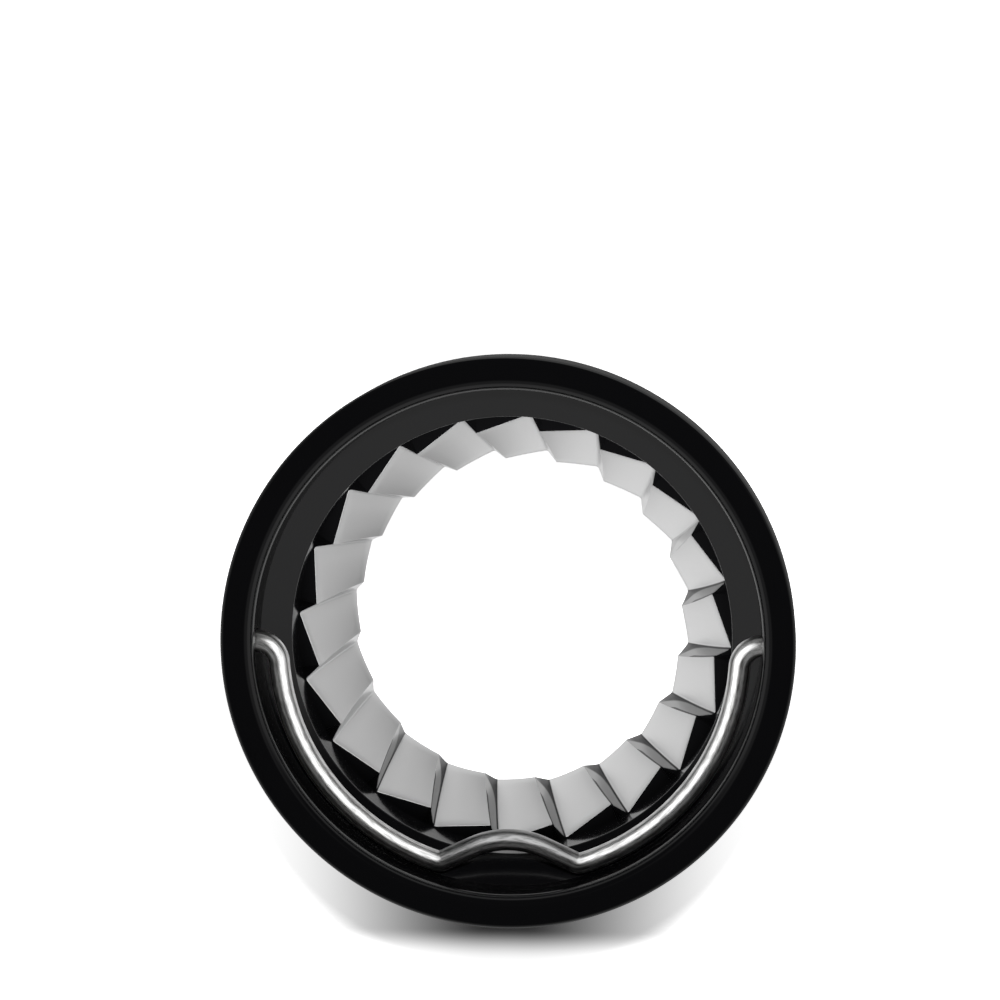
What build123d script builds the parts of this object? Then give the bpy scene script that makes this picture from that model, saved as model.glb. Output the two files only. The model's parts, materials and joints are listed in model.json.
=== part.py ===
"""Upper ring burr of a conical coffee grinder: moulded carrier, steel ring burr and wire handle.

Millimetres. The ring's axis is Z, the inlet faces +Z and the rest face lies on Z = 0.
"""

import os
from math import asin, cos, degrees, radians, sin, sqrt, tan

from build123d import *

# Driving sizes: the rim, the standing height and the handle's wire
rim_radius = 33.0
overall_height = 34.0
wire_diameter = 2.5

# Rim and inner wall of the carrier
rim_height = 6.5
rim_width = 3.75
rim_outer_round = 0.45
rim_inner_round = 1.4
wall_draft = 0.2
wall_depth = 5.6
wall_foot_round = 0.35
wall_top_radius = rim_radius - rim_width
wall_foot_radius = wall_top_radius - wall_draft
wall_foot_height = overall_height - wall_depth
rim_underside = overall_height - rim_height

# Sloped ledge, from the wall's foot in and down to the lip
ledge_width = 3.35
ledge_drop = 2.1
lip_round = 0.25
lip_radius = wall_foot_radius - ledge_width
lip_height = wall_foot_height - ledge_drop
ledge_slope = ledge_drop / ledge_width

# Outside of the carrier below the rim
skirt_step = 2.3
spigot_step = 0.5
spigot_length = 10.5
carrier_bottom = 1.5
carrier_chamfer = 0.4
skirt_radius = rim_radius - skirt_step
spigot_radius = skirt_radius - spigot_step
spigot_top = carrier_bottom + spigot_length

# Bayonet lugs that hold the carrier in the grinder's collar
lug_count = 3
lug_reach = 1.2
lug_drop = 5.0
lug_height = 3.0
lug_angle = 24.0
lug_chamfer = 0.5
lug_first_angle = 90.0
lug_radius = skirt_radius + lug_reach
lug_top = rim_underside - lug_drop
lug_bottom = lug_top - lug_height

# Ring burr, pressed up against a shoulder in the carrier
well_depth = 5.7
shoulder_width = 1.7
burr_chamfer = 0.5
seat_clearance = 0.02
burr_radius = lip_radius + shoulder_width
burr_top = lip_height - well_depth
seat_radius = burr_radius + seat_clearance

# Funnel of the burr, in to its narrow throat and out again
funnel_margin = 2.05
funnel_depth = 10.0
funnel_narrowing = 4.15
outlet_slope = 0.4
crest_top_radius = lip_radius - funnel_margin
throat_radius = crest_top_radius - funnel_narrowing
throat_height = burr_top - funnel_depth

# Coarse flutes of the funnel
flute_count = 20
flute_depth = 1.95
flute_round = 0.4
flute_twist = 5.8
flute_first_angle = -7.0
flute_lean = 2.8
flute_lean_growth = 2.2

# Fine grooves of the outlet, which run out below the throat
groove_count = 60
groove_depth = 0.75
groove_round = 0.06
groove_twist = 9.0
groove_lean = 1.0
groove_inset = 0.15
groove_runout = 3.2
groove_start = throat_height - groove_runout

# Keys that stop the burr from turning in the carrier
key_count = 3
key_width = 4.0
key_reach = 1.0
key_height = 7.5
key_gap = 0.06
key_first_angle = 30.0
key_top = carrier_bottom + key_height

# Wire handle, drawn flat with its pivots on the X axis
pivot_depth = 3.0
pivot_clearance = 0.18
handle_inset = 2.4
handle_shift = 0.95
handle_end_bend = 2.7
handle_end_gap = 0.9
kink_offset = 8.25
kink_bend = 1.5
ramp_angle = 25.4
bump_rise = 4.1
ledge_gap = 0.12
wire_radius = wire_diameter / 2
pivot_height = overall_height - pivot_depth
handle_radius = wall_foot_radius - handle_inset
bump_radius = handle_radius + handle_shift - bump_rise

# Length by which a cutting shape passes the surface that it opens
cut_overrun = 1.0


def around_axis(shape, count, first_angle):
    """Copies a shape in equal steps around the Z axis."""
    step = 360 / count
    return [Rot(0, 0, first_angle + step * index) * shape for index in range(count)]


def turned(points):
    """Face in the XZ half-plane through (radius, height) points."""
    return make_face(Polyline(*[(radius, 0, height) for radius, height in points], close=True))


def corner(face, radius, height):
    """Vertex of a turned face nearest to a radius and height."""
    return face.vertices().sort_by_distance((radius, 0, height))[0]


def polar(radius, angle):
    """Point in the plan at a radius and an angle in degrees."""
    return Vector(radius * cos(radians(angle)), radius * sin(radians(angle)))


def rounded(before, tip, after, radius):
    """Start, middle and end of the arc that rounds a tip between two straight sides."""
    toward_before = (before - tip).normalized()
    toward_after = (after - tip).normalized()
    half_angle = radians(toward_before.get_angle(toward_after)) / 2
    reach = radius / tan(half_angle)
    bisector = (toward_before + toward_after).normalized()
    middle = tip + bisector * (radius / sin(half_angle) - radius)
    return tip + toward_before * reach, middle, tip + toward_after * reach


def tooth_outline(count, crest_radius, depth, first_angle, lean, root_round, height):
    """Edges of a level saw-tooth outline. Each tooth slopes out clockwise, then steps in at a lean."""
    pitch = 360 / count
    lift = Vector(0, 0, height)
    edges = []
    for index in range(count):
        crest_angle = first_angle - pitch * index
        next_angle = crest_angle - pitch
        crest = polar(crest_radius, crest_angle) + lift
        root = polar(crest_radius + depth, next_angle + lean) + lift
        next_crest = polar(crest_radius, next_angle) + lift
        slope_end, middle, step_start = rounded(crest, root, next_crest, root_round)
        edges.append(Edge.make_line(crest, slope_end))
        edges.append(Edge.make_three_point_arc(slope_end, middle, step_start))
        edges.append(Edge.make_line(step_start, next_crest))
    return edges


def tooth_cutter(lower_edges, upper_edges):
    """Solid with ruled sides between two saw-tooth outlines."""
    sides = [Face.make_surface_from_curves(lower, upper) for lower, upper in zip(lower_edges, upper_edges)]
    caps = [Face(Wire(lower_edges)), Face(Wire(upper_edges))]
    return Solid(Shell(sides + caps))


def flute_outline(height):
    """Outline of the coarse flutes, which keep their depth and turn as the funnel narrows."""
    below_top = (burr_top - height) / funnel_depth
    crest_radius = crest_top_radius - funnel_narrowing * below_top
    first_angle = flute_first_angle - flute_twist * below_top
    lean = flute_lean + flute_lean_growth * below_top
    return tooth_outline(flute_count, crest_radius, flute_depth, first_angle, lean, flute_round, height)


def groove_outline(height):
    """Outline of the fine grooves, which grow from nothing at their start to full depth at the outlet."""
    below_start = (groove_start - height) / groove_start
    crest_radius = throat_radius + outlet_slope * (throat_height - height) - groove_inset
    depth = groove_inset + groove_depth * below_start
    first_angle = -groove_twist * below_start
    return tooth_outline(groove_count, crest_radius, depth, first_angle, groove_lean, groove_round, height)


def arc_about(center, start, end):
    """Arc of less than half a turn around a centre."""
    radius = (start - center).length
    middle = center + ((start - center) + (end - center)).normalized() * radius
    return Edge.make_three_point_arc(start, middle, end)


def burr_carrier():
    """Turned ring with its lugs, keys and the two holes for the handle's ends."""
    profile = turned(
        [
            (rim_radius, overall_height),
            (wall_top_radius, overall_height),
            (wall_foot_radius, wall_foot_height),
            (lip_radius, lip_height),
            (lip_radius, burr_top),
            (seat_radius, burr_top),
            (seat_radius, carrier_bottom),
            (spigot_radius, carrier_bottom),
            (spigot_radius, spigot_top),
            (skirt_radius, spigot_top),
            (skirt_radius, rim_underside),
            (rim_radius, rim_underside),
        ]
    )
    profile = fillet(corner(profile, wall_top_radius, overall_height), rim_inner_round)
    profile = fillet(corner(profile, rim_radius, overall_height), rim_outer_round)
    profile = fillet(corner(profile, rim_radius, rim_underside), rim_outer_round)
    profile = fillet(corner(profile, wall_foot_radius, wall_foot_height), wall_foot_round)
    profile = fillet(corner(profile, lip_radius, lip_height), lip_round)
    profile = chamfer(corner(profile, spigot_radius, carrier_bottom), carrier_chamfer)
    carrier = revolve(profile, Axis.Z)

    lug_profile = turned(
        [
            (spigot_radius, lug_bottom),
            (lug_radius - lug_chamfer, lug_bottom),
            (lug_radius, lug_bottom + lug_chamfer),
            (lug_radius, lug_top),
            (spigot_radius, lug_top),
        ]
    )
    lug = revolve(lug_profile, Axis.Z, lug_angle)
    key = Pos(burr_radius, 0, carrier_bottom + key_height / 2) * Box(2 * key_reach, key_width, key_height)
    carrier += around_axis(lug, lug_count, lug_first_angle - lug_angle / 2)
    carrier += around_axis(key, key_count, key_first_angle)

    hole_length = 2 * (rim_radius + cut_overrun)
    pivot_hole = Cylinder(wire_radius + pivot_clearance, hole_length, rotation=(0, 90, 0))
    return carrier - Pos(0, 0, pivot_height) * pivot_hole


def ring_burr():
    """Turned ring, cut by the coarse flutes from above and the fine grooves from below."""
    outlet_radius = throat_radius + outlet_slope * throat_height
    bore_radius = throat_radius - outlet_slope * funnel_depth / 2
    blank = turned(
        [
            (outlet_radius, 0),
            (burr_radius - burr_chamfer, 0),
            (burr_radius, burr_chamfer),
            (burr_radius, burr_top),
            (bore_radius, burr_top),
            (bore_radius, throat_height + funnel_depth / 2),
        ]
    )
    slot = Pos(burr_radius, 0, key_top / 2) * Box(
        2 * (key_reach + key_gap), key_width + 2 * key_gap, key_top + 2 * key_gap
    )
    burr = revolve(blank, Axis.Z)
    burr -= tooth_cutter(flute_outline(throat_height / 2), flute_outline(burr_top + cut_overrun))
    burr -= tooth_cutter(groove_outline(-cut_overrun), groove_outline(groove_start))
    return burr - around_axis(slot, key_count, key_first_angle)


def wire_handle():
    """Bail swept along tangent lines and arcs, then let down on to the ledge."""
    sweep_center = Vector(0, -handle_shift)
    bend_reach = handle_radius + handle_end_bend
    bend_fall = handle_end_bend - handle_shift
    bend_center = sweep_center + Vector(-sqrt(bend_reach**2 - bend_fall**2), -bend_fall)
    bend_start = Vector(bend_center.X, 0)
    bend_end = sweep_center + (bend_center - sweep_center) * (handle_radius / bend_reach)
    end_point = Vector(handle_end_gap - rim_radius, 0)

    kink_reach = handle_radius - kink_bend
    kink_center = sweep_center + Vector(-kink_offset, -sqrt(kink_reach**2 - kink_offset**2))
    kink_start = sweep_center + (kink_center - sweep_center) * (handle_radius / kink_reach)
    ramp_normal = polar(1, 90 + ramp_angle)
    ramp_start = kink_center - ramp_normal * kink_bend

    # The ramp's line runs smoothly into a bump of this bend
    bump_bend = (bump_radius * ramp_normal.Y + ramp_start.dot(ramp_normal)) / (1 - ramp_normal.Y)
    bump_center = Vector(0, -bump_radius - bump_bend)
    ramp_end = bump_center + ramp_normal * bump_bend

    left_half = [
        Edge.make_line(end_point, bend_start),
        arc_about(bend_center, bend_start, bend_end),
        arc_about(sweep_center, bend_end, kink_start),
        arc_about(kink_center, kink_start, ramp_start),
        Edge.make_line(ramp_start, ramp_end),
        arc_about(bump_center, ramp_end, Vector(0, -bump_radius)),
    ]
    right_half = [edge.mirror(Plane.YZ) for edge in left_half]
    section = Plane(end_point, x_dir=(0, 1, 0), z_dir=(1, 0, 0)) * Circle(wire_radius)
    handle = sweep(section, Wire(left_half + right_half))

    ledge_depth = wall_depth + ledge_slope * (wall_foot_radius - kink_start.length)
    lying_depth = ledge_depth - (wire_radius + ledge_gap) * sqrt(1 + ledge_slope**2)
    drop_angle = degrees(asin((lying_depth - pivot_depth) / -kink_start.Y))
    print("handle drops by", round(drop_angle, 2), "degrees")
    return Pos(0, 0, pivot_height) * Rot(drop_angle, 0, 0) * handle


parts = {
    "burr_carrier": burr_carrier(),
    "ring_burr": ring_burr(),
    "wire_handle": wire_handle(),
}

os.makedirs("parts", exist_ok=True)
for name, shape in parts.items():
    export_step(shape, f"parts/{name}.step")
    print(name, round(shape.volume), "mm3")
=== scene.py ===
# %% [markdown]
# # The upper ring burr of a coffee grinder
# Beans fall into a black moulded ring, the carrier, and are cracked between the steel teeth inside it
# and a cone that turns below. A bent wire handle folds down into the ring and swings up to lift it out.
# The solids of the three pieces come with their exact places, so this lesson only dresses them: it keeps
# every size, and adds fine rounds, surface marks, light and a camera.

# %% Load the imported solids
import json
from math import atan2, cos, degrees, radians, sin, sqrt, tan

import bmesh
import bpy
from mathutils import Matrix, Vector


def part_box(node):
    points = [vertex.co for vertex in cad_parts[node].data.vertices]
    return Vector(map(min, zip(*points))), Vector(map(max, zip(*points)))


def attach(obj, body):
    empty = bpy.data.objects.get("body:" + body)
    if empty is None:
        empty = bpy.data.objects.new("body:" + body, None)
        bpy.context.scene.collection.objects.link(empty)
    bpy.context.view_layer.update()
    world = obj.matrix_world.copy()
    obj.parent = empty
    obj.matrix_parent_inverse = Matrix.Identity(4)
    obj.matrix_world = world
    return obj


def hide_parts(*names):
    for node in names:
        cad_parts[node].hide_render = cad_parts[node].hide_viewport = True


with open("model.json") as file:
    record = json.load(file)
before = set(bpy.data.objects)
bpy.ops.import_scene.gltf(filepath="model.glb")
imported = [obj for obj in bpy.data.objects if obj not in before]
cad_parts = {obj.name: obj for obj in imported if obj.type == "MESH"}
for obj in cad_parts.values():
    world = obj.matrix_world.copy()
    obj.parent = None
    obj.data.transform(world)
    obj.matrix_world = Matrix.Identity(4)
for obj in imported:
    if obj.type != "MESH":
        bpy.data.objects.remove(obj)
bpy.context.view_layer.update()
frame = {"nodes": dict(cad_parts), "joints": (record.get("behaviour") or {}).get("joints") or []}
MM = 0.001
print("nodes:", sorted(frame["nodes"]))

# %% [markdown]
# ## Helpers
# Colours are given as hex values, which are sRGB, while the renderer works with linear light, so
# one function turns the first into the second. Another one adds a node to a tree: it sets the node's
# own properties, gives each input either a value or a link, and gives a colour ramp its stops, of which
# a new ramp has only two.

# %% Colour and node helpers
def linear(hex_code):
    """Linear RGBA of an sRGB hex colour."""
    channels = [int(hex_code[place : place + 2], 16) / 255 for place in (1, 3, 5)]
    return [c / 12.92 if c <= 0.04045 else ((c + 0.055) / 1.055) ** 2.4 for c in channels] + [1.0]


def add_node(tree, kind, settings=None, inputs=None, stops=()):
    """A new node, with its properties set, its inputs filled by values or links, and its ramp's stops."""
    node = tree.nodes.new(kind)
    for name, value in (settings or {}).items():
        setattr(node, name, value)
    for key, value in (inputs or {}).items():
        if isinstance(value, bpy.types.NodeSocket):
            tree.links.new(value, node.inputs[key])
        else:
            node.inputs[key].default_value = value
    for index, (position, colour) in enumerate(stops):
        elements = node.color_ramp.elements
        element = elements[index] if index < len(elements) else elements.new(position)
        element.position = position
        element.color = colour
    return node


PLAIN_WHITE = "#ffffff"
print("white is", linear(PLAIN_WHITE))


# %% [markdown]
# ## Glossy black plastic
# The carrier is moulded in black ABS from a polished mould. Such a surface has almost no colour of its
# own: what the eye sees is a sharp reflection, broken a little by the faint ripple that the plastic
# gets as it cools and by fine wiping marks. A low roughness with a slow noise gives both.

# %% Material of the carrier
def material_tree(name):
    """A new material, its empty node tree and the tree's output node."""
    material = bpy.data.materials.new(name)
    material.use_nodes = True
    tree = material.node_tree
    tree.nodes.clear()
    return material, tree, tree.nodes.new("ShaderNodeOutputMaterial")


RIPPLE_SIZE = 2.5 * MM
RIPPLE_DEPTH = 0.002 * MM
RIPPLE_DETAIL = 2.0
WIPE_SIZE = 0.3 * MM
WIPE_DETAIL = 3.0
MOULDED_BLACK = "#070708"
ABS_IOR = 1.5
ABS_GLOSS = (0.1, 0.17)

plastic, tree, output = material_tree("moulded_gloss_black_abs")
place = add_node(tree, "ShaderNodeTexCoord")
ripple = add_node(
    tree,
    "ShaderNodeTexNoise",
    inputs={"Vector": place.outputs["Object"], "Scale": 1 / RIPPLE_SIZE, "Detail": RIPPLE_DETAIL},
)
wipe = add_node(
    tree,
    "ShaderNodeTexNoise",
    inputs={"Vector": place.outputs["Object"], "Scale": 1 / WIPE_SIZE, "Detail": WIPE_DETAIL},
)
gloss = add_node(
    tree,
    "ShaderNodeMapRange",
    inputs={"Value": wipe.outputs["Fac"], "To Min": ABS_GLOSS[0], "To Max": ABS_GLOSS[1]},
)
skin = add_node(
    tree,
    "ShaderNodeBump",
    inputs={"Height": ripple.outputs["Fac"], "Distance": RIPPLE_DEPTH, "Strength": 1.0},
)
shader = add_node(
    tree,
    "ShaderNodeBsdfPrincipled",
    inputs={
        "Base Color": linear(MOULDED_BLACK),
        "Roughness": gloss.outputs["Result"],
        "IOR": ABS_IOR,
        "Normal": skin.outputs["Normal"],
    },
)
tree.links.new(shader.outputs["BSDF"], output.inputs["Surface"])
print("carrier finish:", plastic.name, "with a roughness of", ABS_GLOSS)

# %% [markdown]
# ## Ground burr steel
# The burr is hardened tool steel. Hardening leaves a dark skin, which stays on the flat top face, and
# the grinding wheel then cuts the flutes bright, with fine lines that run down each flute. The steps
# get painted shade: a dark line along both edges of each step and a darker step face between them,
# strongest toward one side of the ring. Toward the throat the painted line in the corner widens into a
# dark notch. The dark skin is told by height, as only the top face lies that high, and the painted shade
# by a number that the burr's mesh stores: it runs from 0 at a crest to 1 in the corner and 2 at the next
# crest.

# %% Grinding lines on the burr
LINE_WIDTH = 0.12 * MM
LINE_LENGTH = 6.0 * MM
LINE_DEPTH = 0.004 * MM
LINE_DETAIL = 3.0
FLUTE_RADIUS = 22.0 * MM
GROUND_GLOSS = (0.32, 0.4)

burr_steel, tree, output = material_tree("ground_tool_steel")
place = add_node(tree, "ShaderNodeTexCoord")
axes = add_node(tree, "ShaderNodeSeparateXYZ", inputs={"Vector": place.outputs["Object"]})
angle = add_node(
    tree, "ShaderNodeMath", {"operation": "ARCTAN2"}, {0: axes.outputs["Y"], 1: axes.outputs["X"]}
)
across = add_node(
    tree,
    "ShaderNodeMath",
    {"operation": "MULTIPLY"},
    {0: angle.outputs["Value"], 1: FLUTE_RADIUS / LINE_WIDTH},
)
along = add_node(
    tree, "ShaderNodeMath", {"operation": "MULTIPLY"}, {0: axes.outputs["Z"], 1: 1 / LINE_LENGTH}
)
line_place = add_node(
    tree, "ShaderNodeCombineXYZ", inputs={"X": across.outputs["Value"], "Y": along.outputs["Value"]}
)
lines = add_node(
    tree,
    "ShaderNodeTexNoise",
    inputs={"Vector": line_place.outputs["Vector"], "Scale": 1.0, "Detail": LINE_DETAIL},
)
line_gloss = add_node(
    tree,
    "ShaderNodeMapRange",
    inputs={"Value": lines.outputs["Fac"], "To Min": GROUND_GLOSS[0], "To Max": GROUND_GLOSS[1]},
)
line_bump = add_node(
    tree,
    "ShaderNodeBump",
    inputs={"Height": lines.outputs["Fac"], "Distance": LINE_DEPTH, "Strength": 1.0},
)
print("grinding lines, mm:", LINE_WIDTH / MM, "wide and", LINE_LENGTH / MM, "long")

# %% Painted shade across one tooth
GROUND_STEEL = "#d9d9d9"
# painted shade: a dark line along both edges of each step, a darker step face, and a dark notch toward the
# throat
PAINTED_CORNER_SHADE = "#1c1c1e"
SHADED_STEP_STEEL = "#9c9c9c"
RAMP_SCALE = 0.5
CORNER_PLACE = 0.5
PAINTED_STEP_SHADE = (
    (0.0, GROUND_STEEL),
    (0.48, GROUND_STEEL),
    (0.5, PAINTED_CORNER_SHADE),
    (0.535, PAINTED_CORNER_SHADE),
    (0.57, SHADED_STEP_STEEL),
    (0.9, SHADED_STEP_STEEL),
    (0.93, PAINTED_CORNER_SHADE),
    (1.0, PAINTED_CORNER_SHADE),
)
SHADE_NOTCH_EDGES = (10.9 * MM, 14.5 * MM)
SHADE_NOTCH_SQUEEZE = 0.12

tooth = add_node(tree, "ShaderNodeAttribute", {"attribute_name": "tooth"})
along_tooth = add_node(
    tree, "ShaderNodeMath", {"operation": "MULTIPLY"}, {0: tooth.outputs["Fac"], 1: RAMP_SCALE}
)
past_corner = add_node(
    tree, "ShaderNodeMath", {"operation": "SUBTRACT"}, {0: along_tooth.outputs["Value"], 1: CORNER_PLACE}
)
squeeze = add_node(
    tree,
    "ShaderNodeMapRange",
    inputs={
        "Value": axes.outputs["Z"],
        "From Min": SHADE_NOTCH_EDGES[0],
        "From Max": SHADE_NOTCH_EDGES[1],
        "To Min": SHADE_NOTCH_SQUEEZE,
    },
)
squeezed = add_node(
    tree,
    "ShaderNodeMath",
    {"operation": "MULTIPLY"},
    {0: past_corner.outputs["Value"], 1: squeeze.outputs["Result"]},
)
step_side = add_node(
    tree,
    "ShaderNodeMath",
    {"operation": "MINIMUM"},
    {0: past_corner.outputs["Value"], 1: squeezed.outputs["Value"]},
)
notched = add_node(
    tree, "ShaderNodeMath", {"operation": "ADD"}, {0: step_side.outputs["Value"], 1: CORNER_PLACE}
)
step_shade = add_node(
    tree,
    "ShaderNodeValToRGB",
    inputs={"Fac": notched.outputs["Value"]},
    stops=[(position, linear(colour)) for position, colour in PAINTED_STEP_SHADE],
)
print("stops across a tooth:", len(PAINTED_STEP_SHADE))

# %% Painted shade, strongest toward one side of the ring
# the painted shade of the steps is full toward this side of the ring and fades to a tenth of it on the
# other
SHADE_SIDE = (0.5, -0.87, 0.0)
SHADE_SIDE_EDGES = (-1.0 * MM, 7.0 * MM)
LEAST_SIDE_SHADE = 0.1

toward_shade_side = add_node(
    tree, "ShaderNodeVectorMath", {"operation": "DOT_PRODUCT"}, {0: place.outputs["Object"], 1: SHADE_SIDE}
)
side_shade = add_node(
    tree,
    "ShaderNodeMapRange",
    inputs={
        "Value": toward_shade_side.outputs["Value"],
        "From Min": SHADE_SIDE_EDGES[0],
        "From Max": SHADE_SIDE_EDGES[1],
        "To Min": LEAST_SIDE_SHADE,
    },
)
flute_colour = add_node(
    tree,
    "ShaderNodeMix",
    {"data_type": "RGBA"},
    {"Factor": side_shade.outputs["Result"], 6: linear(GROUND_STEEL), 7: step_shade.outputs["Color"]},
)
print("least share of the oil lines:", LEAST_SIDE_SHADE)

# %% Dark skin and shader of the burr
BURR_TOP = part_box("ring_burr")[1].z
SKIN_EDGE = 0.01 * MM
DARK_SKIN = "#0c0c0d"

on_top = add_node(
    tree,
    "ShaderNodeMath",
    {"operation": "GREATER_THAN"},
    {0: axes.outputs["Z"], 1: BURR_TOP - SKIN_EDGE},
)
colour = add_node(
    tree,
    "ShaderNodeMix",
    {"data_type": "RGBA"},
    {"Factor": on_top.outputs["Value"], 6: flute_colour.outputs[2], 7: linear(DARK_SKIN)},
)
shader = add_node(
    tree,
    "ShaderNodeBsdfPrincipled",
    inputs={
        "Base Color": colour.outputs[2],
        "Metallic": 1.0,
        "Roughness": line_gloss.outputs["Result"],
        "Normal": line_bump.outputs["Normal"],
    },
)
tree.links.new(shader.outputs["BSDF"], output.inputs["Surface"])
print("burr finish:", burr_steel.name, "with its dark skin above", BURR_TOP - SKIN_EDGE)

# %% [markdown]
# ## Drawn stainless wire
# The handle is spring wire that was pulled through a die, which leaves long fine lines along it. The
# lines have to follow the bends, so they are drawn in the wire's own coordinates: the handle below
# stores how far each point lies along the wire and where it lies in the wire's round section. The bump
# in its middle, where fingers hook it, is darker: partly dull from wear, partly painted shade that dims
# its highlight.

# %% Draw lines on the handle
# Real draw lines are a few hundredths of a millimetre wide, and are drawn coarser here, to show at all
DRAW_LINE = 0.2 * MM
DRAW_LENGTH = 1.6 * MM
DRAW_DEPTH = 0.001 * MM
DRAW_DETAIL = 2.0
DRAW_GLOSS = (0.28, 0.36)

wire_steel, tree, output = material_tree("drawn_stainless_wire")
section = add_node(tree, "ShaderNodeAttribute", {"attribute_name": "section"})
length = add_node(tree, "ShaderNodeAttribute", {"attribute_name": "along"})
section_axes = add_node(tree, "ShaderNodeSeparateXYZ", inputs={"Vector": section.outputs["Vector"]})
stretch = add_node(
    tree,
    "ShaderNodeMath",
    {"operation": "MULTIPLY"},
    {0: length.outputs["Fac"], 1: DRAW_LINE / DRAW_LENGTH},
)
draw_place = add_node(
    tree,
    "ShaderNodeCombineXYZ",
    inputs={
        "X": section_axes.outputs["X"],
        "Y": section_axes.outputs["Y"],
        "Z": stretch.outputs["Value"],
    },
)
draw_lines = add_node(
    tree,
    "ShaderNodeTexNoise",
    inputs={"Vector": draw_place.outputs["Vector"], "Scale": 1 / DRAW_LINE, "Detail": DRAW_DETAIL},
)
draw_gloss = add_node(
    tree,
    "ShaderNodeMapRange",
    inputs={"Value": draw_lines.outputs["Fac"], "To Min": DRAW_GLOSS[0], "To Max": DRAW_GLOSS[1]},
)
draw_bump = add_node(
    tree,
    "ShaderNodeBump",
    inputs={"Height": draw_lines.outputs["Fac"], "Distance": DRAW_DEPTH, "Strength": 1.0},
)
print("draw lines, mm:", DRAW_LINE / MM, "wide and", DRAW_LENGTH / MM, "long")

# %% Colour and shader of the handle
BRIGHT_WIRE = "#e0e0df"
LINE_WIRE = "#adadac"
# the bump is darker partly from wear and partly as painted shade that dims its highlight
WORN_SHADED_WIRE = "#989898"
DULL_SHADED_LINE = "#6c6c6c"
LINE_EDGES = (0.36, 0.56)
WORN_SHADE_EDGES = (7.0 * MM, 9.5 * MM)

place = add_node(tree, "ShaderNodeTexCoord")
axes = add_node(tree, "ShaderNodeSeparateXYZ", inputs={"Vector": place.outputs["Object"]})
sideways = add_node(tree, "ShaderNodeMath", {"operation": "ABSOLUTE"}, {0: axes.outputs["X"]})
wear_and_shade = add_node(
    tree,
    "ShaderNodeMapRange",
    inputs={
        "Value": sideways.outputs["Value"],
        "From Min": WORN_SHADE_EDGES[0],
        "From Max": WORN_SHADE_EDGES[1],
        "To Min": 1.0,
        "To Max": 0.0,
    },
)
between_lines = add_node(
    tree,
    "ShaderNodeMapRange",
    inputs={"Value": draw_lines.outputs["Fac"], "From Min": LINE_EDGES[0], "From Max": LINE_EDGES[1]},
)
lined_colour, worn_shaded_colour = (
    add_node(
        tree,
        "ShaderNodeMix",
        {"data_type": "RGBA"},
        {"Factor": between_lines.outputs["Result"], 6: linear(line), 7: linear(plain)},
    )
    for line, plain in ((LINE_WIRE, BRIGHT_WIRE), (DULL_SHADED_LINE, WORN_SHADED_WIRE))
)
colour = add_node(
    tree,
    "ShaderNodeMix",
    {"data_type": "RGBA"},
    {"Factor": wear_and_shade.outputs["Result"], 6: lined_colour.outputs[2], 7: worn_shaded_colour.outputs[2]},
)
shader = add_node(
    tree,
    "ShaderNodeBsdfPrincipled",
    inputs={
        "Base Color": colour.outputs[2],
        "Metallic": 1.0,
        "Roughness": draw_gloss.outputs["Result"],
        "Normal": draw_bump.outputs["Normal"],
    },
)
tree.links.new(shader.outputs["BSDF"], output.inputs["Surface"])
print("handle finish:", wire_steel.name, "dull within", WORN_SHADE_EDGES[0] / MM, "mm of its middle")

# %% [markdown]
# ## Helpers for Geometry Nodes
# All three pieces follow a rule: the carrier is a profile turned about an axis, the burr is one tooth
# repeated around it, and the handle is a wire bent along a path. Geometry Nodes suit such rules, because
# the tree keeps the sizes as named inputs. Each tree is run once, and its result is kept as a plain mesh.

# %% Trees and the meshes that they make
MERGE_DISTANCE = 0.0005 * MM
SHARP_ANGLE = radians(35)


def new_tree(name, sizes):
    """A Geometry Nodes tree with one named input for each size, and its input and output nodes."""
    tree = bpy.data.node_groups.new(name, "GeometryNodeTree")
    tree.interface.new_socket("Geometry", in_out="INPUT", socket_type="NodeSocketGeometry")
    for size, value in sizes.items():
        kind = "NodeSocketInt" if isinstance(value, int) else "NodeSocketFloat"
        tree.interface.new_socket(size, in_out="INPUT", socket_type=kind)
    tree.interface.new_socket("Geometry", in_out="OUTPUT", socket_type="NodeSocketGeometry")
    return tree, tree.nodes.new("NodeGroupInput"), tree.nodes.new("NodeGroupOutput")


def made_by(tree, sizes, start_mesh, name):
    """Runs a tree on a start mesh and keeps what it makes as a plain, closed mesh object."""
    piece = bpy.data.objects.new(name, start_mesh)
    nodes = piece.modifiers.new("nodes", "NODES")
    nodes.node_group = tree
    for socket in tree.interface.items_tree:
        if socket.in_out == "INPUT" and socket.name in sizes:
            nodes[socket.identifier] = sizes[socket.name]
    bpy.context.scene.collection.objects.link(piece)
    evaluated = piece.evaluated_get(bpy.context.evaluated_depsgraph_get())
    plain = bpy.data.meshes.new_from_object(evaluated)
    piece.modifiers.clear()

    cleaned = bmesh.new()
    cleaned.from_mesh(plain)
    bmesh.ops.remove_doubles(cleaned, verts=cleaned.verts, dist=MERGE_DISTANCE)
    bmesh.ops.recalc_face_normals(cleaned, faces=cleaned.faces)
    open_edges = sum(1 for edge in cleaned.edges if not edge.is_manifold)
    cleaned.to_mesh(plain)
    cleaned.free()
    plain.shade_smooth()
    plain.set_sharp_from_angle(angle=SHARP_ANGLE)
    piece.data = plain
    print(name, "has", len(plain.polygons), "faces and", open_edges, "open edges")
    return piece


print("points closer than", MERGE_DISTANCE / MM, "mm are merged")


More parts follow.
